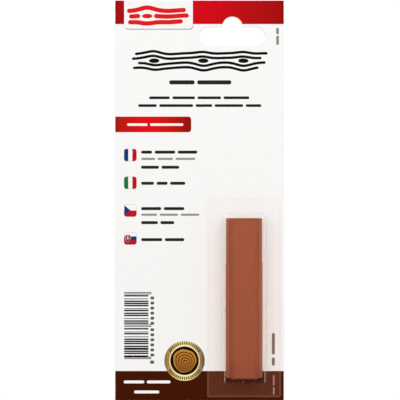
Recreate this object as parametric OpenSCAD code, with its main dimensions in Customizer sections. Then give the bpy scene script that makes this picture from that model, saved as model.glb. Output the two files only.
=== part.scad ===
// Furniture repair wax stick with a flat spatula, held by a clear blister on a hanging card.
// The pack lies on its back. +X runs to the card's right, +Y up the card to the hang hole and
// +Z out of the card's front. The origin is the middle of the card's back face.
// All lengths are in millimetres.

/* [Card] */
// Width of the card
card_w = 80; // [70:1:110]
// Length of the card, from its foot to its hanging edge
card_l = 190; // [170:1:260]
// Thickness of the board
card_t = 0.5; // [0.3:0.05:1]

/* [Hang hole] */
// Length of the slot, over its round ends
slot_l = 31.4; // [26:0.2:36]
// Width of the slot
slot_w = 9; // [7:0.2:12]
// Radius of the arch over the middle of the slot
arch_r = 4.9; // [3:0.1:6]
// From the card's right edge to the middle of the slot
slot_side = 24.4; // [20:0.2:40]
// From the card's hanging edge to the middle of the slot
slot_drop = 17; // [13:0.5:25]

/* [Wax stick] */
// Width of the stick's back
stick_w = 14.1; // [10:0.1:20]
// Length of the stick's back
stick_l = 75.8; // [60:0.2:100]
// Height of the stick
stick_h = 7.8; // [5:0.1:12]
// How far each long side leans in on its way to the front
stick_side_draft = 2.25; // [1:0.05:3.5]
// How far each end leans in on its way to the front
stick_end_draft = 0.25; // [0.1:0.05:3]
// Rounding of the stick's long front edges
stick_edge_r = 0.4; // [0.2:0.05:0.8]
// Rounding of the stick's front edge at each end
stick_end_r = 1; // [0.4:0.1:2]
// Rounding of the stick's upright corners, at its back
stick_corner_r = 0.8; // [0.5:0.1:3]

/* [Spatula] */
// How far the spatula's head lies short of the stick's
spatula_head_inset = 0.05; // [0:0.05:3]
// How far the spatula's foot lies short of the stick's
spatula_foot_inset = 0.05; // [0:0.05:3]
// Thickness of the spatula
spatula_t = 1; // [0.6:0.1:2]
// Width of the handle
handle_w = 17.4; // [14:0.1:22]
// Rounding of the handle's corners
handle_r = 1.1; // [0.5:0.1:3]
// Width of the blade
blade_w = 17; // [14:0.1:22]
// Length of the blade, from its tip to the handle
blade_l = 20.6; // [12:0.2:35]
// Length of the slope that thins the blade to its tip
blade_slope_l = 4; // [2:0.2:8]
// Thickness left at the blade's tip
blade_tip_t = 0.4; // [0.2:0.05:0.5]
// Clearance between the spatula and the stick that lies on it
seat_gap = 0.1; // [0.05:0.05:0.5]

/* [Blister] */
// Thickness of the clear sheet
sheet_t = 0.35; // [0.2:0.05:0.5]
// Room inside the bubble at each side of the widest piece
side_gap = 1.9; // [1:0.1:4]
// Room past the stick's head where the bubble's walls have leaned in at its front
head_gap = 1; // [0.4:0.05:4]
// Room below the stick's foot where the bubble's walls have leaned in at its front
foot_gap = 0.9; // [0.4:0.05:4]
// Room inside the bubble over the stick's front
front_gap = 0.6; // [0.2:0.05:2]
// How far each bubble wall leans in on its way to the front
bubble_draft = 1.3; // [0.8:0.1:1.8]
// Radius of the bubble's upright corners, at its front
bubble_corner_r = 1; // [0.8:0.1:3]
// Rounding of the bubble's front edges
shoulder_r = 0.9; // [0.6:0.05:1.2]
// Rounding of the bend from the flange to the bubble
bend_r = 0.5; // [0.2:0.05:1]

/* [Flange] */
// Width of the flange at each side of the bubble
flange_side = 6.6; // [4:0.1:10]
// Width of the flange past the bubble's head
flange_head = 7.35; // [4:0.05:10]
// Width of the flange below the bubble's foot
flange_foot = 6.65; // [4:0.05:10]
// Rounding of the flange's corners
flange_corner_r = 0.8; // [0.4:0.1:3]
// Width of the raised rim along the flange's cut edge
rim_w = 0.9; // [0.5:0.1:1.5]
// How far the rim stands above the flange
rim_rise = 0.15; // [0.05:0.05:0.3]
// From the card's right edge to the flange
flange_edge_gap = 1.3; // [0.5:0.1:5]
// From the card's foot to the flange
flange_foot_gap = 1.65; // [0.5:0.05:5]

/* [Hidden] */
$fn = 64;
// How far a cut runs past the faces that it goes through
overrun = 1;
// Straight pieces in each drawn round
arc_steps = 6;

// Middle of the hang hole's slot
slot_x = card_w / 2 - slot_side;
slot_y = card_l / 2 - slot_drop;

// Bubble, measured over its walls where they leave the flange, and from the card's front
bubble_w = max(stick_w, handle_w, blade_w) + 2 * (side_gap + sheet_t);
bubble_l = foot_gap + stick_l + head_gap + 2 * (bubble_draft + sheet_t);
bubble_h = spatula_t + seat_gap + stick_h + front_gap + sheet_t;
wall_angle = atan(bubble_draft / (bubble_h - sheet_t));
base_corner_r = bubble_corner_r + bubble_draft;
shoulder = min(shoulder_r, bubble_corner_r);
bubble_spans = [bubble_w / 2 - base_corner_r, bubble_l / 2 - base_corner_r];

// Flange round the bubble, and the places of both on the card
flange_w = bubble_w + 2 * flange_side;
flange_l = bubble_l + flange_head + flange_foot;
bubble_x = card_w / 2 - flange_edge_gap - flange_w / 2;
bubble_foot_y = flange_foot_gap + flange_foot - card_l / 2;
bubble_y = bubble_foot_y + bubble_l / 2;
flange_y = flange_foot_gap + flange_l / 2 - card_l / 2;

// Places of the pieces that the bubble holds, and the spatula's length
stick_foot_y = bubble_foot_y + sheet_t + bubble_draft + foot_gap;
stick_y = stick_foot_y + stick_l / 2;
spatula_l = stick_l - spatula_head_inset - spatula_foot_inset;
spatula_y = stick_foot_y + spatula_foot_inset + spatula_l / 2;

// Points on an arc about a centre, from one angle to another
function arc(centre, r, from, to) =
    [for (i = [0 : arc_steps])
        let (angle = from + (to - from) * i / arc_steps)
        centre + r * [cos(angle), sin(angle)]];

// Centre of the round between a wall that leans in from x = half at the bottom and a flat top
function top_round(half, top, r, lean) =
    [half - (top - r * (1 - sin(lean))) * tan(lean) - r * cos(lean), top - r];

// Cross-section of a bar whose sides lean in by draft, with its front edges rounded
function drafted_section(w, h, draft, r) =
    let (lean = atan(draft / h), centre = top_round(w / 2, h, r, lean))
    concat(
        [[-w / 2, 0], [w / 2, 0]],
        arc(centre, r, lean, 90),
        arc([-centre.x, centre.y], r, 90, 180 - lean));

// Outline with four equal round corners
module round_rect(w, l, r) {
    square([w - 2 * r, l], center = true);
    square([w, l - 2 * r], center = true);
    for (sx = [-1, 1], sy = [-1, 1])
        translate([sx * (w / 2 - r), sy * (l / 2 - r)]) circle(r);
}

// Straight slot with round ends and an arch over its middle
module hang_hole_outline() {
    end_x = (slot_l - slot_w) / 2;
    square([2 * end_x, slot_w], center = true);
    for (side = [-1, 1]) translate([side * end_x, 0]) circle(d = slot_w);
    translate([0, slot_w / 2]) circle(arch_r);
}

module backing_card() {
    color([0.975, 0.97, 0.96])
    difference() {
        translate([-card_w / 2, -card_l / 2, 0]) cube([card_w, card_l, card_t]);
        translate([slot_x, slot_y, -overrun])
            linear_extrude(card_t + 2 * overrun) hang_hole_outline();
    }
}

// Centre of the bend between the flange and a bubble wall, from the axis of the base corner
bend_centre = [
    base_corner_r - bend_r * (1 - sin(wall_angle)) * tan(wall_angle)
        + bend_r * cos(wall_angle),
    sheet_t + bend_r];
shoulder_centre = [0, sheet_t]
    + top_round(base_corner_r, bubble_h - sheet_t, shoulder, wall_angle);

// Sheet from the flange's opening up the wall and in over the front, one thickness all along
wall_section = concat(
    arc(bend_centre, bend_r, 270, 180 + wall_angle),
    arc(shoulder_centre, shoulder, wall_angle, 90),
    [[0, bubble_h], [0, bubble_h - sheet_t]],
    arc(shoulder_centre, shoulder - sheet_t, 90, wall_angle),
    arc(bend_centre, bend_r + sheet_t, 180 + wall_angle, 270));

module bubble() {
    for (side = [0 : 3]) {
        near = bubble_spans[side % 2];
        far = bubble_spans[1 - side % 2];
        rotate(90 * side) {
            translate([near, 0, 0])
                rotate([90, 0, 0]) linear_extrude(2 * far, center = true) polygon(wall_section);
            translate([near, far, 0]) rotate_extrude(angle = 90) polygon(wall_section);
        }
    }
    translate([0, 0, bubble_h - sheet_t])
        linear_extrude(sheet_t) square(2 * bubble_spans, center = true);
}

module flange() {
    opening = 2 * (bubble_spans + [bend_centre.x, bend_centre.x]);
    translate([0, flange_y - bubble_y, 0]) {
        linear_extrude(sheet_t)
            difference() {
                round_rect(flange_w, flange_l, flange_corner_r);
                translate([0, bubble_y - flange_y])
                    round_rect(opening.x, opening.y, bend_centre.x);
            }
        linear_extrude(sheet_t + rim_rise)
            difference() {
                round_rect(flange_w, flange_l, flange_corner_r);
                square([flange_w - 2 * rim_w, flange_l - 2 * rim_w], center = true);
            }
    }
}

module blister() {
    color([0.93, 0.94, 0.95, 0.35])
    translate([bubble_x, bubble_y, card_t]) {
        flange();
        bubble();
    }
}

module wax_stick() {
    color([0.62, 0.34, 0.24])
    translate([bubble_x, stick_y, card_t + spatula_t + seat_gap])
    intersection() {
        rotate([90, 0, 0])
            linear_extrude(stick_l + 2 * overrun, center = true)
                polygon(drafted_section(stick_w, stick_h, stick_side_draft, stick_edge_r));
        rotate([90, 0, 90])
            linear_extrude(stick_w + 2 * overrun, center = true)
                polygon(drafted_section(stick_l, stick_h, stick_end_draft, stick_end_r));
        translate([0, 0, -overrun])
            linear_extrude(stick_h + 2 * overrun) round_rect(stick_w, stick_l, stick_corner_r);
    }
}

module spatula() {
    tip_y = spatula_l / 2;
    step_y = tip_y - blade_l;
    color([0.6, 0.38, 0.28])
    translate([bubble_x, spatula_y, card_t])
    intersection() {
        linear_extrude(spatula_t) {
            translate([-blade_w / 2, step_y - handle_r]) square([blade_w, blade_l + handle_r]);
            translate([0, (step_y - tip_y) / 2])
                round_rect(handle_w, tip_y + step_y, handle_r);
        }
        rotate([90, 0, 90])
            linear_extrude(max(handle_w, blade_w) + 2 * overrun, center = true)
                polygon([
                    [-tip_y - overrun, 0], [tip_y, 0], [tip_y, blade_tip_t],
                    [tip_y - blade_slope_l, spatula_t], [-tip_y - overrun, spatula_t]]);
    }
}

backing_card();
blister();
wax_stick();
spatula();
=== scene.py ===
"""Looks of the furniture repair wax stick in its blister pack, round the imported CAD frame.

The pack lies on its back on a pale floor. Lengths are in metres, in the CAD's own frame: +X is the
card's right, +Y runs up the card and +Z comes out of its printed front.
"""
import math
import random

import bmesh
import bpy
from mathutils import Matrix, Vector


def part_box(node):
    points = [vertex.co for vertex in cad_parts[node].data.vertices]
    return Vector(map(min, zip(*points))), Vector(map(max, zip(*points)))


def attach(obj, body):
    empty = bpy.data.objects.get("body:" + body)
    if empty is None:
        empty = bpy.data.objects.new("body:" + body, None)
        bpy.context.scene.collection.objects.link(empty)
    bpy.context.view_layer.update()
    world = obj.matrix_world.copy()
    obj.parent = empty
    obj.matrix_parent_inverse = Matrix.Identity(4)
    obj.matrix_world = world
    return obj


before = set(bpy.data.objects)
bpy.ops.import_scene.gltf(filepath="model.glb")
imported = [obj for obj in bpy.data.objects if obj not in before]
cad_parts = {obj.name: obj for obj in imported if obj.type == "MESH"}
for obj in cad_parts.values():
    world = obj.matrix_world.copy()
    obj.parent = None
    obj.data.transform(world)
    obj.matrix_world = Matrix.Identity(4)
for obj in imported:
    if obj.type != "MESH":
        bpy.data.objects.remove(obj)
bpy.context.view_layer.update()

MM = 0.001

# Places on the card are given in pixels of the 400 by 400 picture, from its upper left corner.
PIXEL = 0.4756 * MM
MIDDLE_X = 199.25
MIDDLE_Y = 200.22

# The card, and the thickness of what is printed on it
CARD_LOW, CARD_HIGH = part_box("backing_card")
CARD_FRONT = CARD_HIGH.z
COATING = 0.03 * MM
INK = 0.02 * MM

# Hang hole, as in the part's source
HOLE_X = 15.6 * MM
HOLE_Y = 78 * MM
SLOT_LENGTH = 31.4 * MM
SLOT_WIDTH = 9 * MM
ARCH_RADIUS = 4.9 * MM

# Straight pieces in each drawn round
CORNER_STEPS = 6
SLOT_STEPS = 16
ARCH_STEPS = 24
BITE_STEPS = 20
KNOT_STEPS = 24
RING_STEPS = 96

# Plain colours, as the linear colours that nodes take
BLACK = (0, 0, 0)
WHITE = (1, 1, 1)

# Levels that a noise keeps to
NOISE_LOW = 0.3
NOISE_HIGH = 0.7

# Coating and inks. An ink's roughness runs between two levels.
WHITE_WARM = (0.925, 0.912, 0.893)
WHITE_COOL = (0.93, 0.92, 0.905)
INK_GLOSS = 0.05
INK_ROUGH = (0.37, 0.47)
SHADED_INK_ROUGH = (0.36, 0.46)
INK_MOTTLE = 0.9 * MM
INK_GRAIN = 0.12 * MM
INK_BUMP = 0.004 * MM

# Wax: its two browns, its painted light and shade (lighter towards its head, darker towards its
# foot and over the last stretch to its foot), and how far painted shade darkens the faces that lean
# to its ends
WAX_RED = (0.38, 0.09, 0.041)
WAX_BROWN = (0.345, 0.093, 0.044)
WAX_HEAD_PAINTED_LIGHT = 1.05
WAX_FOOT_PAINTED_SHADE = 0.905
WAX_LAST_SHADE = 0.92
WAX_LAST_SHADE_START = 11 * MM
WAX_LAST_SHADE_FULL = 5.5 * MM
WAX_TILT_START = 0.08
WAX_TILT_FULL = 0.35
WAX_FOOT_FACE_SHADE = 0.5
WAX_HEAD_FACE_SHADE = 0.72

# Spatula: its brown, and the painted shade that darkens it over the last stretch to its foot
SPATULA_BROWN = (0.475, 0.155, 0.079)
SPATULA_FOOT_SHADE = 0.74
SPATULA_FOOT_SHADE_START = 5 * MM
SPATULA_FOOT_SHADE_FULL = 3.6 * MM

# Clear sheet: a thin pane that mirrors at a slant, with a share of bending glass
SHEET_IOR = 1.38
SHEET_BENDS = 0.06
SHEET_MIRRORS = (0.88, 0.88, 0.88)
SHEET_PASSES = (0.998, 0.997, 0.996)
SHEET_TINT = (0.995, 0.993, 0.99)
SHEET_ROUGH = (0.05, 0.1)

# Haze on the sealed flange, with painted reflection: its reddish tint is light bounced off the wax.
# # It sets in from the card's middle down, and fades above the flange.
HAZE_BOUNCE_COLOUR = (1.0, 0.3, 0.17)
HAZE_BOUNCE_HEAD = -1 * MM
HAZE_BOUNCE_FULL = -26 * MM
HAZE_BOUNCE_FADE = 0.4 * MM
FLANGE_TOP = CARD_FRONT + 0.35 * MM
SEAL_HAZE_BOUNCE = 0.062
BUBBLE_HAZE_BOUNCE = 0.006

# Painted glints on the shoulders of the bubble's long walls: pale where they lean between these
# shares
GLINT_COLOUR = (1.0, 0.68, 0.52)
GLINT_SHARE = 0.21
GLINT_FOOT = CARD_FRONT + 6 * MM
GLINT_STOPS = ((0.45, BLACK), (0.6, WHITE), (0.95, WHITE), (0.985, BLACK))

# Walls below HAZE_BOUNCE_FULL mirror only where they lean less than this to the card's ends
LEVEL_STOPS = ((0.2, WHITE), (0.5, BLACK))

# Painted highlight along the sheet's cut edge, where it catches light
EDGE_GLINT_COLOUR = (1.0, 0.5, 0.33)
EDGE_GLINT_WIDTH = 0.9 * MM
EDGE_GLINT = 0.068

# Header band: the card's sides and top, the band's foot, and its reds from left to right
CARD_LEFT = 115.1
CARD_RIGHT = 283.4
CARD_TOP = 0.48
HEADER_FOOT = 24.0
HEADER_REDS = (
    (115.4, (136, 2, 4)), (118, (167, 6, 6)), (203, (209, 3, 20)), (228, (196, 4, 17)),
    (256, (176, 7, 12)), (280, (163, 6, 5)), (283.2, (128, 2, 3)))

# White tab over the header, and how far its shadow stands out
TAB_LEFT = 124.0
TAB_RIGHT = 192.6
TAB_FOOT = 28.6
TAB_ROUND = 4
SHADOW_LEFT = 0.4
SHADOW_RIGHT = 0.5
SHADOW_DROP = 1.1

# Grain strokes. A row is its place below the middle, and how far it starts and ends short.
TAB_GRAIN = ((-5.6, 0, 3), (0, 2, 0), (5.6, 1, 6))
HEADLINE_GRAIN = ((-6.9, 3, 0), (-2.3, 0, 6), (2.3, 6, 2), (6.9, 1, 9))
KNOT_WIDE = 5.2
KNOT_TALL = 2.3
KNOT_REACH = 9
KNOT_PUSH = 2.3
WAVE_HEIGHT = 0.5
WAVE_RATE = 0.16
STROKE_STEPS = 48

# Rows of plain bars: left end, right end, middle, height, how many, and the seed of their lengths
DARK_ROWS = (
    (169, 231, 82.2, 4.1, 2, 3),
    (149, 249, 97.6, 2.7, 4, 5),
    (138, 261, 105.4, 2.7, 5, 8),
    (141, 197, 151.9, 3.0, 3, 1),
    (141, 179, 167, 3.0, 2, 2),
    (141, 185, 183, 3.0, 3, 4),
    (141, 184, 208.3, 3.0, 2, 6),
    (141, 174, 222.3, 3.0, 2, 7),
    (141, 184, 239.3, 3.0, 2, 9))
GREY_ROWS = (
    (141, 195, 158.6, 2.2, 3, 11),
    (141, 199, 214.4, 2.2, 3, 12))
BANNER_ROWS = ((127, 183, 124.4, 2.5, 2, 21),)
FOOTER_ROWS = (
    (123.6, 170.2, 381.4, 2.9, 2, 31),
    (134, 159, 391.4, 2.9, 1, 32))
BAR_GAP = 2.6
BAR_SHARES = (0.6, 1.5)
BAR_ROUND = 0.9

# Banner at the card's left edge, and its reds from left to right
BANNER_RIGHT = 190.95
BANNER_TOP = 116.4
BANNER_FOOT = 132.0
BANNER_ROUND = 3
BANNER_REDS = (
    (115.6, (150, 20, 14)), (120, (184, 23, 9)), (130, (204, 15, 17)), (144, (225, 8, 20)),
    (158, (215, 13, 15)), (171, (198, 15, 6)), (184, (166, 12, 0)), (190.4, (142, 18, 6)))

# Footer band
FOOTER_TOP = 370.5

# Flags, one over the other
FLAG_LEFT = 123.9
FLAG_RIGHT = 136.4
FLAG_TOPS = (148.6, 176.3, 204.0, 231.9)
FLAG_TALL = 12.4
FLAG_ROUND = 2.5
FLAG_RIM = 0.5
WEDGE_SIDE = 0.4
WEDGE_INSET = 1.1
WEDGE_TIP = 6.6

# Shield on the fourth flag: its middle on the flag, half the width and the height of its rim and
# its field, and its side from the top down, as shares of these two from its middle
SHIELD_X = 3.8
SHIELD_Y = 6.2
SHIELD_RIM = (3.0, 7.5)
SHIELD_FIELD = (2.65, 6.8)
SHIELD_SIDE = ((0.6, -0.5), (1, -0.3), (1, 0), (0.7, 0.25))

# What the shield holds, from its middle: the hills' corners, and the left, top, right and foot of
# the cross's post and its two arms
HILLS = ((-1.8, 1.5), (0, 3.2), (1.8, 1.5), (0, 1.0))
CROSS_POST = (-0.4, -2.7, 0.4, 1.2)
CROSS_UPPER = (-0.9, -2.0, 0.9, -1.4)
CROSS_LOWER = (-1.5, -0.7, 1.5, 0)

# Barcode, in modules of which 95 make its height, and the small marks beside it
CODE_LEFT = 124
CODE_RIGHT = 148.2
CODE_GUARD_RIGHT = 151.2
CODE_TOP = 291.8
CODE_FOOT = 358.5
CODE_MODULES = 95
CODE_GUARDS = (0, 2, 46, 48, 92, 94)
CODE_HALVES = (3, 50)
CODE_DIGITS = 6
CODE_SEED = 4
DIGIT_MODULES = 7
INK_SPREAD = 0.05
MARKS_RIGHT = 153.9
MARKS_FOOT = 363.2
MARK_STEP = 5.05
MARK_ROUND = 1
FIRST_MARK = (4.0, 3.1)
OTHER_MARK = (3.6, 2.9)
FIRST_MARK_GAP = 2.2
HALF_MARK_GAP = 1.4

# Seal: its middle, the radii of its parts, and the strokes across its ring, by angle in degrees
SEAL_X = 184.35
SEAL_Y = 360.2
SEAL_RADIUS = 20.1
SEAL_EDGE = 0.5
SEAL_LINE = 15.2
SEAL_DISC = 14.3
TICK_STARTS = (34, 214)
TICK_STEP = 7
TICK_COUNT = 17
TICK_REACH = (16.7, 18.5)
TICK_WIDTH = 1.15

# Log's end on the seal. A wave is how many go round, the share that they add, and their start.
LOG_RADIUS = 11.6
LOG_RINGS = (9.6, 7.2, 4.8, 2.4)
LOG_LINE = 1.0
LOG_SHIFT_X = 0.096
LOG_SHIFT_Y = 0.16
LOG_WAVES = ((3, 0.035, 0.6), (7, 0.02, 1.9))
BARK_WAVES = ((23, 0.012, 0.0),)
LOG_STEPS = 72

# Floor and surroundings
FLOOR_HALF = 4.0
FLOOR_WHITE = 0.82
FLOOR_GLOW = 0.22
SKY_HORIZON = 1.2
SKY_ZENITH = 0.12
SKY_FOOT = 0.2

# Lamps: name, place, width and height, and power in watts
SOFTBOXES = (
    ("softbox_left", (-0.85, 0.1, 1.25), (0.8, 0.9), 8.05),
    ("softbox_right", (0.85, 0.1, 1.25), (0.8, 0.9), 8.2),
    ("softbox_head", (0, 0.95, 1.25), (0.9, 0.8), 5.6))

# Camera, straight over a pixel of the card. Its lens and sensor are in millimetres.
CAMERA_PIXEL = (199.75, 199.7)
CAMERA_DISTANCE = 0.5943
CAMERA_LENS = 112.6
CAMERA_SENSOR = 36
CAMERA_NEAR = 0.05
CAMERA_FAR = 20


# Shapes

def spot(x, y):
    """A pixel of the picture as a place on the card."""
    return ((x - MIDDLE_X) * PIXEL, (MIDDLE_Y - y) * PIXEL)


def arc(centre, radius, start, end, steps):
    """Points on an arc, from one angle to another, in degrees."""
    points = []
    for i in range(steps + 1):
        angle = math.radians(start + (end - start) * i / steps)
        points.append((centre[0] + radius * math.cos(angle), centre[1] + radius * math.sin(angle)))
    return points


def rounded(left, top, right, bottom, radii):
    """Outline in metres of a box given in pixels. radii are in pixels, from the lower left corner
    and on anticlockwise: lower left, lower right, upper right, upper left."""
    x0, y0 = spot(left, bottom)
    x1, y1 = spot(right, top)
    corners = [(x0, y0, 1, 1, 180), (x1, y0, -1, 1, 270), (x1, y1, -1, -1, 0), (x0, y1, 1, -1, 90)]
    points = []
    for (x, y, sx, sy, start), radius in zip(corners, radii):
        r = radius * PIXEL
        if r == 0:
            points.append((x, y))
        else:
            points += arc((x + sx * r, y + sy * r), r, start, start + 90, CORNER_STEPS)
    return points


def sharp(left, top, right, bottom):
    """Outline in metres of a box with sharp corners, given in pixels."""
    return rounded(left, top, right, bottom, (0,) * 4)


def oval(x, y, wide, tall):
    """Outline of an oval about a pixel, from its half width and half height."""
    turn = [2 * math.pi * i / KNOT_STEPS for i in range(KNOT_STEPS)]
    return [spot(x + wide * math.cos(angle), y - tall * math.sin(angle)) for angle in turn]


def ribbon(points, width):
    """Outline of a stroke of one width along points, with round ends."""
    half = width / 2
    sides = {1: [], -1: []}
    for i, point in enumerate(points):
        before = points[max(i - 1, 0)]
        after = points[min(i + 1, len(points) - 1)]
        along = (Vector(after) - Vector(before)).normalized()
        across = Vector((-along.y, along.x)) * half
        for side, row in sides.items():
            row.append((point[0] + side * across.x, point[1] + side * across.y))
    start = math.degrees(math.atan2(points[1][1] - points[0][1], points[1][0] - points[0][0]))
    end = math.degrees(math.atan2(points[-1][1] - points[-2][1], points[-1][0] - points[-2][0]))
    first_cap = arc(points[0], half, start + 90, start + 270, CORNER_STEPS)[1:-1]
    last_cap = arc(points[-1], half, end - 90, end + 90, CORNER_STEPS)[1:-1]
    return first_cap + sides[-1] + last_cap + sides[1][::-1]


def film(name, outlines, low, high, material, holes=()):
    """A thin printed layer on the card: closed solids over outlines, less the holes in them."""
    bm = bmesh.new()
    for outline in outlines:
        part = bmesh.new()
        edges = []
        for loop in [outline, *holes]:
            corners = [part.verts.new((x, y, low)) for x, y in loop]
            edges += [part.edges.new(pair) for pair in zip(corners, corners[1:] + corners[:1])]
        bmesh.ops.triangle_fill(part, use_beauty=True, edges=edges, normal=(0, 0, 1))
        raised = bmesh.ops.extrude_face_region(part, geom=part.faces[:])["geom"]
        tops = [v for v in raised if isinstance(v, bmesh.types.BMVert)]
        bmesh.ops.translate(part, verts=tops, vec=(0, 0, high - low))
        bmesh.ops.recalc_face_normals(part, faces=part.faces[:])
        mesh = bpy.data.meshes.new(name)
        part.to_mesh(mesh)
        part.free()
        bm.from_mesh(mesh)
        bpy.data.meshes.remove(mesh)
    mesh = bpy.data.meshes.new(name)
    bm.to_mesh(mesh)
    bm.free()
    piece = bpy.data.objects.new(name, mesh)
    bpy.context.scene.collection.objects.link(piece)
    mesh.materials.append(material)
    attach(piece, "card")


def ink_film(name, outlines, under, material, holes=(), layers=1):
    """A film of ink, with that many other layers of ink under it."""
    low = CARD_FRONT + COATING + under * INK
    film(name, outlines, low, low + layers * INK, material, holes)


# Materials

def add_node(tree, kind, values=None, **settings):
    """A shader node with settings. A value that is a socket is linked, and any other is set."""
    node = tree.nodes.new("ShaderNode" + kind)
    for key, value in settings.items():
        setattr(node, key, value)
    for key, value in (values or {}).items():
        if isinstance(value, bpy.types.NodeSocket):
            tree.links.new(value, node.inputs[key])
        else:
            node.inputs[key].default_value = value
    return node


class Look:
    """A node material in the making."""

    def __init__(self, name):
        self.material = bpy.data.materials.new(name)
        self.material.use_nodes = True
        self.tree = self.material.node_tree
        self.tree.nodes.clear()
        self.output = self.add("OutputMaterial")
        self.place = self.add("TexCoord").outputs["Object"]

    def add(self, kind, values=None, **settings):
        return add_node(self.tree, kind, values, **settings)

    def combine(self, operation, first, *second):
        """The result of an arithmetic operation on one or two values."""
        values = dict(enumerate((first, *second)))
        return self.add("Math", values, operation=operation).outputs[0]

    def position(self, axis):
        """The place along an axis of the object, in metres."""
        return self.add("SeparateXYZ", {"Vector": self.place}).outputs[axis]

    def leans(self, axis):
        """How far the surface leans to the plus side of an axis of the object, from -1 to 1."""
        normal = self.add("TexCoord").outputs["Normal"]
        return self.add("SeparateXYZ", {"Vector": normal}).outputs[axis]

    def mapped(self, value, start, end, low, high, **settings):
        """A level that goes from low to high as value goes from start to end."""
        values = {"Value": value, "From Min": start, "From Max": end, "To Min": low, "To Max": high}
        return self.add("MapRange", values, **settings).outputs["Result"]

    def noise(self, size, detail=3.0, stretch=(1, 1, 1)):
        """Noise with spots of that size in metres, drawn out by stretch."""
        scale = [1 / (size * share) for share in stretch]
        scaled = self.add("Mapping", {"Vector": self.place, "Scale": scale})
        values = {"Vector": scaled.outputs["Vector"], "Scale": 1.0, "Detail": detail}
        return self.add("TexNoise", values).outputs["Fac"]

    def spread(self, noise, low, high):
        """A noise as a level from low to high."""
        return self.mapped(noise, NOISE_LOW, NOISE_HIGH, low, high)

    def ramp(self, factor, stops):
        """Colours over a factor. stops are (place, colour)."""
        node = self.add("ValToRGB", {"Fac": factor})
        band = node.color_ramp
        while len(band.elements) < len(stops):
            band.elements.new(0.5)
        for element, (where, colour) in zip(band.elements, stops):
            element.position = where
            element.color = (*colour, 1)
        return node.outputs["Color"]

    def scaled(self, colour, level):
        """A colour times a level."""
        values = {0: colour, "Scale": level}
        return self.add("VectorMath", values, operation="SCALE").outputs["Vector"]

    def tint(self, colour, noise, share):
        """A colour made lighter and darker by share, after a noise."""
        return self.scaled(colour, self.spread(noise, 1 - share, 1 + share))

    def painted_shade(self, colour, value, start, full, least):
        """A colour darkened by painted shade: it falls to least of itself as value goes from start
        to full.
        """
        return self.scaled(colour, self.mapped(value, start, full, 1.0, least))

    def bump(self, height, distance, strength):
        """Surface normals over a height, which is distance in metres from 0 to 1."""
        values = {"Height": height, "Distance": distance, "Strength": strength}
        return self.add("Bump", values).outputs["Normal"]

    def principled(self, **values):
        """The all-round shader. Its sockets' names are in small letters with underscores."""
        named = {}
        for key, value in values.items():
            named[key.replace("_", " ").title().replace("Ior", "IOR")] = value
        return self.add("BsdfPrincipled", named).outputs["BSDF"]

    def matte(self, colour):
        return self.add("BsdfDiffuse", {"Color": (*colour, 1)}).outputs["BSDF"]

    def passing(self, colour):
        return self.add("BsdfTransparent", {"Color": (*colour, 1)}).outputs["BSDF"]

    def mixed(self, share, first, second):
        """A shader that goes from first to second with share."""
        return self.add("MixShader", {0: share, 1: first, 2: second}).outputs[0]

    def show(self, shader):
        self.tree.links.new(shader, self.output.inputs["Surface"])
        return self.material


def shade(red, green, blue):
    """A colour as it looks on screen, 0 to 255, as the linear colour that nodes take."""
    def linear(value):
        v = value / 255
        return v / 12.92 if v <= 0.04045 else ((v + 0.055) / 1.055) ** 2.4
    return (linear(red), linear(green), linear(blue))


def inked(look, colour, rough):
    """Ink of a colour on the coated board, with faint mottling and the board's grain under it."""
    mottle = look.noise(INK_MOTTLE)
    grain = look.noise(INK_GRAIN, detail=2)
    return look.show(look.principled(
        base_color=look.tint(colour, mottle, share=0.02),
        roughness=look.spread(mottle, *rough),
        normal=look.bump(grain, INK_BUMP, strength=0.6),
        specular_ior_level=INK_GLOSS))


def printed(name, colour):
    """One ink of one colour."""
    return inked(Look(name), colour, INK_ROUGH)


def shaded_print(name, left, right, stops):
    """An ink that runs through colours from one pixel column to another."""
    look = Look(name)
    across = look.mapped(look.position("X"), spot(left, 0)[0], spot(right, 0)[0], 0.0, 1.0)
    places = [((x - left) / (right - left), shade(*colour)) for x, colour in stops]
    return inked(look, look.ramp(across, places), SHADED_INK_ROUGH)


def coating_look():
    """White coated face of the board."""
    look = Look("board_coating")
    cloud = look.noise(6 * MM)
    mottle = look.noise(0.7 * MM)
    grain = look.noise(0.15 * MM)
    base = look.ramp(cloud, [(0.3, WHITE_WARM), (0.7, WHITE_COOL)])
    return look.show(look.principled(
        base_color=look.tint(base, mottle, share=0.004),
        roughness=look.spread(mottle, low=0.45, high=0.55),
        normal=look.bump(grain, distance=0.006 * MM, strength=0.6)))


def board_look():
    """Uncoated board on the card's back and edges: pressed grey fibres with flecks."""
    look = Look("raw_board")
    fibre = look.noise(0.25 * MM, detail=4, stretch=(1, 6, 1))
    fleck = look.noise(0.5 * MM, detail=2)
    layers = look.noise(0.06 * MM, detail=2, stretch=(20, 20, 1))
    pale = look.ramp(fibre, [(0.3, shade(222, 218, 208)), (0.7, shade(238, 235, 228))])
    flecked = look.ramp(fleck, [(0.70, WHITE), (0.76, shade(196, 188, 174))])
    values = {"Fac": 1.0, "Color1": pale, "Color2": flecked}
    base = look.add("MixRGB", values, blend_type="MULTIPLY").outputs["Color"]
    return look.show(look.principled(
        base_color=look.tint(base, layers, share=0.05),
        roughness=look.spread(fibre, low=0.78, high=0.92),
        normal=look.bump(fibre, distance=0.02 * MM, strength=0.7)))


def mirror_share(look, normal):
    """How much the sheet mirrors: more at a slant, on its outer side only, and not on the steep
    wall at the bubble's foot."""
    sheen = look.add("Fresnel", {"IOR": SHEET_IOR, "Normal": normal}).outputs[0]
    inner = look.add("NewGeometry").outputs["Backfacing"]
    mirrored = look.combine("MULTIPLY", sheen, look.combine("SUBTRACT", 1.0, inner))
    level = look.ramp(look.combine("ABSOLUTE", look.leans("Y")), LEVEL_STOPS)
    head = look.combine("GREATER_THAN", look.position("Y"), HAZE_BOUNCE_FULL)
    return look.combine("MULTIPLY", mirrored, look.combine("MAXIMUM", level, head))


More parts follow.
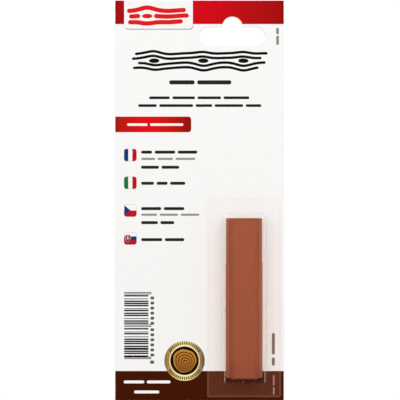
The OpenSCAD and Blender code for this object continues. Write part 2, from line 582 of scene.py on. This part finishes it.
def haze_bounce_share(look, scuff):
    """How much haze and painted reddish bounce light the sheet shows: most on the flange that is
    sealed to the card, down to its foot.
    """
    height = look.position("Z")
    share = look.mapped(height, FLANGE_TOP, FLANGE_TOP + HAZE_BOUNCE_FADE, SEAL_HAZE_BOUNCE, BUBBLE_HAZE_BOUNCE)
    share = look.combine("MULTIPLY", share, look.spread(scuff, low=0.85, high=1.15))
    along = look.position("Y")
    onset = look.mapped(along, HAZE_BOUNCE_HEAD, HAZE_BOUNCE_FULL, 0.0, 1.0, interpolation_type="SMOOTHSTEP")
    return look.combine("MULTIPLY", share, onset)


def glint_share(look):
    """How strong the painted glints on the shoulders of the bubble's long walls are."""
    lean = look.ramp(look.combine("ABSOLUTE", look.leans("X")), GLINT_STOPS)
    over = look.combine("GREATER_THAN", look.position("Z"), GLINT_FOOT)
    glint = look.combine("MULTIPLY", lean, over)
    return look.combine("MULTIPLY", glint, GLINT_SHARE)


def edge_glint_share(look):
    """How strong the painted highlight on the sheet is: only along its cut edge."""
    low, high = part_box("blister")
    past = []
    for axis, start, end in (("X", low.x, high.x), ("Y", low.y, high.y)):
        off = look.combine("SUBTRACT", look.position(axis), (start + end) / 2)
        off = look.combine("ABSOLUTE", off)
        past.append(look.combine("GREATER_THAN", off, (end - start) / 2 - EDGE_GLINT_WIDTH))
    return look.combine("MULTIPLY", look.combine("MAXIMUM", *past), EDGE_GLINT)


def sheet_look():
    """Clear formed sheet: glossy, bends light a little, hazy with painted reddish bounce light
    where it is sealed down, with painted glints along its shoulders and a painted highlight along
    its cut edge. Lamps shine through."""
    look = Look("clear_sheet")
    scuff = look.noise(0.8 * MM, detail=4, stretch=(1, 5, 1))
    rough = look.spread(scuff, *SHEET_ROUGH)
    normal = look.bump(scuff, distance=0.001 * MM, strength=0.2)
    values = {"Color": (*SHEET_MIRRORS, 1), "Roughness": rough, "Normal": normal}
    mirror = look.add("BsdfGlossy", values).outputs[0]
    pane = look.mixed(mirror_share(look, normal), look.passing(SHEET_PASSES), mirror)
    glass = look.principled(
        base_color=(*SHEET_TINT, 1), roughness=rough, normal=normal, ior=SHEET_IOR,
        transmission_weight=1.0)
    body = look.mixed(SHEET_BENDS, pane, glass)
    # Haze with painted reddish bounce light, then painted glints on the shoulders and a painted
    # highlight along the cut edge
    body = look.mixed(haze_bounce_share(look, scuff), body, look.matte(HAZE_BOUNCE_COLOUR))
    body = look.mixed(glint_share(look), body, look.matte(GLINT_COLOUR))
    body = look.mixed(edge_glint_share(look), body, look.matte(EDGE_GLINT_COLOUR))
    path = look.add("LightPath").outputs
    through = look.combine("MAXIMUM", path["Is Shadow Ray"], path["Is Diffuse Ray"])
    return look.show(look.mixed(through, body, look.passing(SHEET_PASSES)))


def wax_look():
    """Cast filler wax: soft mottling drawn out along the stick, a low sheen and some depth. Its
    colour
    holds painted light and shade: lighter towards its head, darker towards its foot and over its
    last stretch, and darker on the faces that lean to its ends.
    """
    look = Look("filler_wax")
    streak = look.noise(2.2 * MM, stretch=(1, 9, 1))
    cloud = look.noise(1.1 * MM, detail=4)
    pore = look.noise(0.22 * MM)
    low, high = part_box("wax_stick")
    along = look.position("Y")
    tilt = look.leans("Y")
    base = look.ramp(streak, [(0.3, WAX_RED), (0.7, WAX_BROWN)])
    base = look.tint(base, cloud, share=0.035)
    # Painted light and shade: lighter towards the head, darker towards the foot, with more painted
    # shade over the last stretch
    base = look.scaled(base, look.mapped(along, low.y, high.y, WAX_FOOT_PAINTED_SHADE, WAX_HEAD_PAINTED_LIGHT))
    base = look.painted_shade(base, along, low.y + WAX_LAST_SHADE_START, low.y + WAX_LAST_SHADE_FULL, WAX_LAST_SHADE)
    # Painted shade on the faces that lean to the foot and to the head
    base = look.painted_shade(base, tilt, -WAX_TILT_START, -WAX_TILT_FULL, WAX_FOOT_FACE_SHADE)
    base = look.painted_shade(base, tilt, WAX_TILT_START, WAX_TILT_FULL, WAX_HEAD_FACE_SHADE)
    height = look.combine("ADD", cloud, pore)
    return look.show(look.principled(
        base_color=base,
        roughness=look.spread(cloud, low=0.42, high=0.56),
        normal=look.bump(height, distance=0.02 * MM, strength=0.5),
        specular_ior_level=0.03,
        ior=1.44,
        subsurface_weight=0.12,
        subsurface_radius=(1.0, 0.35, 0.2),
        subsurface_scale=0.8 * MM))


def spatula_look():
    """Satin moulded plastic, with painted shade over the last stretch to its foot."""
    look = Look("spatula_plastic")
    flow = look.noise(3 * MM, detail=2, stretch=(1, 5, 1))
    grain = look.noise(0.14 * MM)
    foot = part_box("spatula")[0].y
    along = look.position("Y")
    base = look.tint(SPATULA_BROWN, flow, share=0.04)
    # Painted shade over the last stretch to the foot
    base = look.painted_shade(base, along, foot + SPATULA_FOOT_SHADE_START, foot + SPATULA_FOOT_SHADE_FULL, SPATULA_FOOT_SHADE)
    return look.show(look.principled(
        base_color=base,
        roughness=look.spread(grain, low=0.38, high=0.52),
        normal=look.bump(grain, distance=0.008 * MM, strength=0.6),
        specular_ior_level=0.2))


def gold_look():
    """Printed gold on the seal's ring: pale in its middle and darker at its sides."""
    look = Look("seal_gold")
    middle = spot(SEAL_X, SEAL_Y)[0]
    reach = SEAL_RADIUS * PIXEL
    across = look.mapped(look.position("X"), middle - reach, middle + reach, 0.0, 1.0)
    base = look.ramp(across, [
        (0.02, shade(136, 100, 44)), (0.16, shade(184, 150, 78)), (0.42, shade(244, 226, 144)),
        (0.62, shade(240, 218, 140)), (0.84, shade(176, 142, 84)), (0.97, shade(106, 76, 44))])
    mottle = look.noise(0.5 * MM)
    grain = look.noise(0.15 * MM, detail=2)
    return look.show(look.principled(
        base_color=look.tint(base, mottle, share=0.05),
        roughness=look.spread(mottle, low=0.34, high=0.46),
        normal=look.bump(grain, distance=0.004 * MM, strength=0.6)))


def wood_look():
    """Printed log's end: orange-gold, darker towards its foot."""
    look = Look("seal_wood")
    middle = spot(SEAL_X, SEAL_Y)[1]
    reach = SEAL_DISC * PIXEL
    along = look.mapped(look.position("Y"), middle - reach, middle + reach, 0.0, 1.0)
    base = look.ramp(along, [
        (0.1, shade(154, 90, 2)), (0.5, shade(182, 115, 10)), (0.9, shade(194, 130, 32))])
    mottle = look.noise(0.4 * MM)
    grain = look.noise(0.15 * MM, detail=2)
    return look.show(look.principled(
        base_color=look.tint(base, mottle, share=0.06),
        roughness=look.spread(mottle, low=0.36, high=0.48),
        normal=look.bump(grain, distance=0.004 * MM, strength=0.6)))


def floor_look():
    """Plain white floor. It shows white to the camera and still takes the pack's shadow."""
    look = Look("floor_white")
    cloud = look.noise(0.3)
    path = look.add("LightPath").outputs
    seen = look.combine("MAXIMUM", path["Is Camera Ray"], path["Is Glossy Ray"])
    seen = look.combine("MAXIMUM", seen, path["Is Transmission Ray"])
    return look.show(look.principled(
        base_color=look.tint((FLOOR_WHITE,) * 3, cloud, share=0.004),
        roughness=look.spread(cloud, low=0.85, high=0.95),
        specular_ior_level=0.1,
        emission_color=(*WHITE, 1),
        emission_strength=look.combine("MULTIPLY", seen, FLOOR_GLOW)))


# Print on the card

def hole_outline():
    """The hang hole: a slot with round ends and an arch over its middle."""
    r = SLOT_WIDTH / 2
    end = SLOT_LENGTH / 2 - r
    points = arc((HOLE_X + end, HOLE_Y), r, -90, 90, SLOT_STEPS)
    points += arc((HOLE_X, HOLE_Y + r), ARCH_RADIUS, 0, 180, ARCH_STEPS)
    points += arc((HOLE_X - end, HOLE_Y), r, 90, 270, SLOT_STEPS)
    return points


def band_outline(low, high):
    """Outline of a band over the card's whole width, between two heights up the card."""
    return [(CARD_LOW.x, low), (CARD_HIGH.x, low), (CARD_HIGH.x, high), (CARD_LOW.x, high)]


def print_ground():
    """White coating over the whole front."""
    outline = band_outline(CARD_LOW.y, CARD_HIGH.y)
    top = CARD_FRONT + COATING
    film("print_coating", [outline], CARD_FRONT, top, coating_look(), [hole_outline()])


def print_header():
    """Red band along the hanging edge, cut by the hang hole's arch."""
    high = CARD_HIGH.y
    low = spot(0, HEADER_FOOT)[1]
    crown = HOLE_Y + SLOT_WIDTH / 2
    bite = math.degrees(math.asin((low - crown) / ARCH_RADIUS))
    arch = arc((HOLE_X, crown), ARCH_RADIUS, 180 - bite, bite, BITE_STEPS)
    outline = [
        (CARD_LOW.x, low), *arch, (CARD_HIGH.x, low), (CARD_HIGH.x, high), (CARD_LOW.x, high)]
    ink = shaded_print("ink_header", CARD_LEFT, CARD_RIGHT, HEADER_REDS)
    ink_film("print_header", [outline], 0, ink)


def print_tab():
    """White tab over the header with a thin grey shadow at its foot, and a plain grain motif."""
    radii = (TAB_ROUND, TAB_ROUND, 0, 0)
    left, right, foot = TAB_LEFT + SHADOW_LEFT, TAB_RIGHT + SHADOW_RIGHT, TAB_FOOT + SHADOW_DROP
    shadow = rounded(left, HEADER_FOOT, right, foot, radii)
    ink_film("print_tab_shadow", [shadow], 0, printed("ink_shadow", shade(176, 176, 172)))
    tab = rounded(TAB_LEFT, CARD_TOP, TAB_RIGHT, TAB_FOOT, radii)
    ink_film("print_tab", [tab], 1, printed("ink_white_tab", WHITE_WARM))
    strokes = grain(left=129, right=186.5, middle=16, rows=TAB_GRAIN, width=4.4, knots=(147,))
    ink_film("print_tab_grain", strokes, 2, printed("ink_red", shade(226, 26, 32)))


def print_headline():
    """Bold band of grain strokes across the card."""
    knots = (154, 203, 243)
    strokes = grain(left=133, right=266, middle=60.6, rows=HEADLINE_GRAIN, width=2.6, knots=knots)
    ink_film("print_headline", strokes, 0, printed("ink_black", shade(14, 11, 8)))


def grain(left, right, middle, rows, width, knots):
    """Outlines of knots, and of long strokes like a board's grain that part round them. A row in
    the middle stops at each knot."""
    outlines = [oval(knot, middle, KNOT_WIDE, KNOT_TALL) for knot in knots]
    for place, short_left, short_right in rows:
        stops = [left + short_left, right - short_right]
        if place == 0:
            stops += [knot + side * KNOT_REACH for knot in knots for side in (-1, 1)]
            stops.sort()
        for first, last in zip(stops[::2], stops[1::2]):
            points = grain_stroke(first, last, middle, place, knots)
            outlines.append(ribbon(points, width * PIXEL))
    return outlines


def grain_stroke(first, last, middle, place, knots):
    """Points along a wavy stroke at a place below the middle, pushed away from the knots."""
    side = (place > 0) - (place < 0)
    points = []
    for i in range(STROKE_STEPS + 1):
        x = first + (last - first) * i / STROKE_STEPS
        push = sum(math.exp(-((x - knot) / KNOT_REACH) ** 2) for knot in knots)
        y = place + side * KNOT_PUSH * push + WAVE_HEIGHT * math.sin(x * WAVE_RATE)
        points.append(spot(x, middle + y))
    return points


def bar_rows(rows):
    """Outlines of plain round-ended bars of uneven lengths, in rows."""
    outlines = []
    for left, right, middle, height, count, seed in rows:
        draw = random.Random(seed)
        shares = [draw.uniform(*BAR_SHARES) for _ in range(count)]
        room = right - left - BAR_GAP * (count - 1)
        half = height / 2
        x = left
        for share in shares:
            length = room * share / sum(shares)
            radii = (half * BAR_ROUND,) * 4
            outlines.append(rounded(x, middle - half, x + length, middle + half, radii))
            x += length + BAR_GAP
    return outlines


def print_lines():
    """Plain bars in rows on the card's white."""
    dark = printed("ink_text", shade(38, 36, 33))
    grey = printed("ink_text_grey", shade(150, 148, 144))
    ink_film("print_lines_dark", bar_rows(DARK_ROWS), 0, dark)
    ink_film("print_lines_grey", bar_rows(GREY_ROWS), 0, grey)


def column_bars(middle, bottom, lengths, width, gap):
    """Outlines of plain round-ended bars that stand one over the other, from the bottom up."""
    half = width / 2
    outlines = []
    y = bottom
    for length in lengths:
        radii = (half * BAR_ROUND,) * 4
        outlines.append(rounded(middle - half, y - length, middle + half, y, radii))
        y -= length + gap
    return outlines


def print_columns():
    """Plain bars that run up the card's right side."""
    top = column_bars(middle=277.2, bottom=44.8, lengths=(9.2, 6.4), width=2.8, gap=1.4)
    ink_film("print_column_top", top, 0, printed("ink_grey", shade(140, 138, 134)))
    side = column_bars(middle=273, bottom=365, lengths=(8, 21.5), width=3.0, gap=3)
    ink_film("print_column_side", side, 0, printed("ink_taupe", shade(128, 106, 98)))
    foot = column_bars(middle=273.4, bottom=394, lengths=(7.5, 10.5), width=1.7, gap=1.6)
    ink_film("print_column_foot", foot, 1, printed("ink_pink", shade(160, 120, 108)))


def print_banner():
    """Red banner at the left edge with plain white bars on it."""
    radii = (0, BANNER_ROUND, BANNER_ROUND, 0)
    outline = rounded(CARD_LEFT, BANNER_TOP, BANNER_RIGHT, BANNER_FOOT, radii)
    outline = [(max(x, CARD_LOW.x), y) for x, y in outline]
    ink = shaded_print("ink_banner", CARD_LEFT, BANNER_RIGHT, BANNER_REDS)
    ink_film("print_banner", [outline], 0, ink)
    white = printed("ink_white", shade(246, 240, 236))
    ink_film("print_banner_bars", bar_rows(BANNER_ROWS), 1, white)


def print_footer():
    """Brown band along the foot, with plain white bars."""
    outline = band_outline(CARD_LOW.y, spot(0, FOOTER_TOP)[1])
    ink_film("print_footer", [outline], 0, printed("ink_brown", shade(65, 19, 0)))
    white = printed("ink_white_foot", shade(250, 246, 242))
    ink_film("print_footer_bars", bar_rows(FOOTER_ROWS), 1, white)


def print_flags():
    """Four small flags with round corners."""
    left, right, tall, r, rim = FLAG_LEFT, FLAG_RIGHT, FLAG_TALL, FLAG_ROUND, FLAG_RIM
    first, second, third, fourth = FLAG_TOPS
    rims = [rounded(left, top, right, top + tall, (r,) * 4) for top in FLAG_TOPS]
    ink_film("print_flag_rims", rims, 0, printed("ink_flag_rim", shade(214, 214, 216)))
    whites = []
    for top in FLAG_TOPS:
        foot = top + tall - rim
        whites.append(rounded(left + rim, top + rim, right - rim, foot, (r - rim,) * 4))
    ink_film("print_flag_white", whites, 1, printed("ink_flag_white", shade(249, 244, 242)))

    stripe = (right - left) / 3
    middle = third + tall / 2
    reds = []
    for top in (first, second):
        reds.append(rounded(right - stripe, top, right, top + tall, (0, r, r, 0)))
    reds.append(rounded(left, middle, right, third + tall, (r, r, 0, 0)))
    reds.append(rounded(left, fourth + tall * 2 / 3, right, fourth + tall, (r, r, 0, 0)))
    ink_film("print_flag_red", reds, 2, printed("ink_flag_red", shade(194, 16, 20)))
    blues = [rounded(left, first, left + stripe, first + tall, (r, 0, 0, r))]
    blues.append(sharp(left, fourth + tall / 3, right, fourth + tall * 2 / 3))
    blue = shade(18, 57, 118)
    ink_film("print_flag_blue", blues, 2, printed("ink_flag_blue", blue))
    wedge = [
        spot(left + WEDGE_SIDE, third + WEDGE_INSET),
        spot(left + WEDGE_SIDE, third + tall - WEDGE_INSET),
        spot(left + WEDGE_TIP, middle)]
    ink_film("print_flag_wedge", [wedge], 3, printed("ink_wedge", blue))
    greens = [rounded(left, second, left + stripe, second + tall, (r, 0, 0, r))]
    ink_film("print_flag_green", greens, 2, printed("ink_flag_green", shade(26, 120, 55)))
    print_shield(left + SHIELD_X, fourth + SHIELD_Y)


def shield_outline(x, y, half, tall):
    """Outline in metres of a plain shield about a pixel, from its half width and its height."""
    points = [spot(x - half * out, y + tall * down) for out, down in SHIELD_SIDE]
    points.append(spot(x, y + tall / 2))
    points += [spot(x + half * out, y + tall * down) for out, down in reversed(SHIELD_SIDE)]
    return points


def print_shield(x, y):
    """Small shield on the fourth flag: a white double cross over blue hills on red."""
    white = printed("ink_shield_white", shade(240, 196, 196))
    red = printed("ink_shield_red", shade(164, 12, 26))
    blue = printed("ink_shield_blue", shade(30, 24, 70))
    ink_film("print_shield_rim", [shield_outline(x, y, *SHIELD_RIM)], 3, white)
    ink_film("print_shield", [shield_outline(x, y, *SHIELD_FIELD)], 4, red)
    hills = [spot(x + right, y + down) for right, down in HILLS]
    ink_film("print_shield_hills", [hills], 5, blue)
    post, *arms = [
        sharp(x + left, y + top, x + right, y + foot)
        for left, top, right, foot in (CROSS_POST, CROSS_UPPER, CROSS_LOWER)]
    ink_film("print_shield_cross", [post], 6, white)
    ink_film("print_shield_bars", arms, 7, white)


def code_bars():
    """Bars of a made-up code that stands for nothing, between the usual guard bars. A bar is its
    place and its width in modules, and its right end."""
    draw = random.Random(CODE_SEED)
    bars = [(start, 1, CODE_GUARD_RIGHT) for start in CODE_GUARDS]
    for first in CODE_HALVES:
        for digit in range(CODE_DIGITS):
            start = first + DIGIT_MODULES * digit
            gap = draw.choice((1, 1, 2))
            one = draw.choice((2, 2, 4 - gap))
            two = draw.choice((1, 2, 2))
            bars.append((start + gap, one, CODE_RIGHT))
            bars.append((start + DIGIT_MODULES - two, two, CODE_RIGHT))
    return bars


def code_marks():
    """Outlines of small plain marks beside the code, from its foot up: one, then six and six."""
    outlines = []
    y = MARKS_FOOT
    for i in range(1 + 2 * CODE_DIGITS):
        wide, tall = OTHER_MARK if i else FIRST_MARK
        outlines.append(rounded(MARKS_RIGHT - wide, y - tall, MARKS_RIGHT, y, (MARK_ROUND,) * 4))
        y -= MARK_STEP
        if i == 0:
            y -= FIRST_MARK_GAP
        if i == CODE_DIGITS:
            y -= HALF_MARK_GAP
    return outlines


def print_barcode():
    """Barcode, turned to run up the card."""
    module = (CODE_FOOT - CODE_TOP) / CODE_MODULES
    outlines = []
    for at, wide, right in code_bars():
        top = CODE_TOP + (at - INK_SPREAD) * module
        foot = CODE_TOP + (at + wide + INK_SPREAD) * module
        outlines.append(sharp(CODE_LEFT, top, right, foot))
    ink_film("print_barcode", outlines, 0, printed("ink_barcode", shade(20, 18, 16)))
    ink_film("print_barcode_marks", code_marks(), 1, printed("ink_marks", shade(92, 90, 88)))


def ring(radius):
    """Outline in metres of a circle about the seal's middle. radius is in pixels."""
    return arc(spot(SEAL_X, SEAL_Y), radius * PIXEL, 0, 360, RING_STEPS)[:-1]


def seal_ticks():
    """Outlines of short strokes across the seal's ring, over its upper and its lower side."""
    outlines = []
    for first in TICK_STARTS:
        for i in range(TICK_COUNT):
            angle = math.radians(first + TICK_STEP * i)
            x, y = math.cos(angle), math.sin(angle)
            ends = [spot(SEAL_X + reach * x, SEAL_Y - reach * y) for reach in TICK_REACH]
            outlines.append(ribbon(ends, TICK_WIDTH * PIXEL))
    return outlines


def log_outline(radius, waves):
    """Outline in metres of a slightly uneven ring of a log's end. radius is in pixels."""
    x0 = SEAL_X + LOG_SHIFT_X * (LOG_RADIUS - radius)
    y0 = SEAL_Y + LOG_SHIFT_Y * (LOG_RADIUS - radius)
    points = []
    for i in range(LOG_STEPS):
        angle = 2 * math.pi * i / LOG_STEPS
        uneven = sum(share * math.sin(count * angle + start) for count, share, start in waves)
        r = radius * (1 + uneven)
        points.append(spot(x0 + r * math.cos(angle), y0 - r * math.sin(angle)))
    return points


def print_seal():
    """Round gold seal with strokes across its ring and a log's growth rings in the middle."""
    gold = gold_look()
    ink_film("print_seal_edge", [ring(SEAL_RADIUS)], 0, gold, layers=2)
    ink_film("print_seal_gold", [ring(SEAL_RADIUS - SEAL_EDGE)], 2, gold)
    ink_film("print_seal_line", [ring(SEAL_LINE)], 3, printed("seal_cream", shade(252, 240, 196)))
    ink_film("print_seal_disc", [ring(SEAL_DISC)], 4, printed("seal_black", shade(16, 10, 4)))
    ink_film("print_seal_ticks", seal_ticks(), 3, printed("seal_olive", shade(70, 54, 14)))
    log = log_outline(LOG_RADIUS, LOG_WAVES + BARK_WAVES)
    ink_film("print_seal_log", [log], 5, wood_look())
    dark = printed("seal_rings", shade(92, 42, 2))
    for n, radius in enumerate(LOG_RINGS):
        outer = log_outline(radius, LOG_WAVES)
        inner = log_outline(radius - LOG_LINE, LOG_WAVES)
        ink_film(f"print_seal_ring_{n}", [outer], 6, dark, [inner])


# The CAD pieces

def dress(node, material):
    """Gives a CAD node its material."""
    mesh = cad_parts[node].data
    if len(mesh.materials) == 0:
        mesh.materials.append(material)
    for i in range(len(mesh.materials)):
        mesh.materials[i] = material


# Floor, light and camera

def make_floor():
    """Plain floor that the pack lies on."""
    bm = bmesh.new()
    signs = [(-1, -1), (1, -1), (1, 1), (-1, 1)]
    bm.faces.new([bm.verts.new((x * FLOOR_HALF, y * FLOOR_HALF, 0)) for x, y in signs])
    mesh = bpy.data.meshes.new("floor")
    bm.to_mesh(mesh)
    bm.free()
    mesh.materials.append(floor_look())
    floor = bpy.data.objects.new("floor", mesh)
    bpy.context.scene.collection.objects.link(floor)


def make_world():
    """Soft surroundings: bright at the horizon and dim overhead, and dimmer towards the foot."""
    world = bpy.data.worlds.new("studio")
    world.use_nodes = True
    tree = world.node_tree
    tree.nodes.clear()
    place = add_node(tree, "TexCoord").outputs["Generated"]
    parts = add_node(tree, "SeparateXYZ", {0: place}).outputs
    values = {"Value": parts["Z"], "To Min": SKY_HORIZON, "To Max": SKY_ZENITH}
    rise = add_node(tree, "MapRange", values).outputs["Result"]
    values = {"Value": parts["Y"], "From Min": -1, "From Max": 0, "To Min": SKY_FOOT}
    along = add_node(tree, "MapRange", values).outputs["Result"]
    level = add_node(tree, "Math", {0: rise, 1: along}, operation="MULTIPLY").outputs[0]
    background = add_node(tree, "Background", {"Strength": level}).outputs[0]
    add_node(tree, "OutputWorld", {"Surface": background})
    bpy.context.scene.world = world


def softbox(name, place, size, power):
    """A large square lamp that faces the middle of the card."""
    data = bpy.data.lights.new(name, "AREA")
    data.shape = "RECTANGLE"
    data.size = size[0]
    data.size_y = size[1]
    data.energy = power
    lamp = bpy.data.objects.new(name, data)
    lamp.location = place
    lamp.rotation_mode = "QUATERNION"
    lamp.rotation_quaternion = (-Vector(place)).to_track_quat("-Z", "Y")
    bpy.context.scene.collection.objects.link(lamp)


def make_camera():
    """Camera that looks straight down at the card's front."""
    data = bpy.data.cameras.new("camera")
    data.sensor_width = CAMERA_SENSOR
    data.lens = CAMERA_LENS
    data.clip_start = CAMERA_NEAR
    data.clip_end = CAMERA_FAR
    camera = bpy.data.objects.new("camera", data)
    camera.location = (*spot(*CAMERA_PIXEL), CARD_FRONT + CAMERA_DISTANCE)
    bpy.context.scene.collection.objects.link(camera)
    bpy.context.scene.camera = camera


print_ground()
print_header()
print_tab()
print_headline()
print_lines()
print_columns()
print_banner()
print_flags()
print_barcode()
print_footer()
print_seal()

dress("backing_card", board_look())
dress("blister", sheet_look())
dress("wax_stick", wax_look())
dress("spatula", spatula_look())

make_floor()
make_world()
for name, place, size, power in SOFTBOXES:
    softbox(name, place, size, power)
make_camera()
bpy.context.scene.view_settings.view_transform = "Standard"
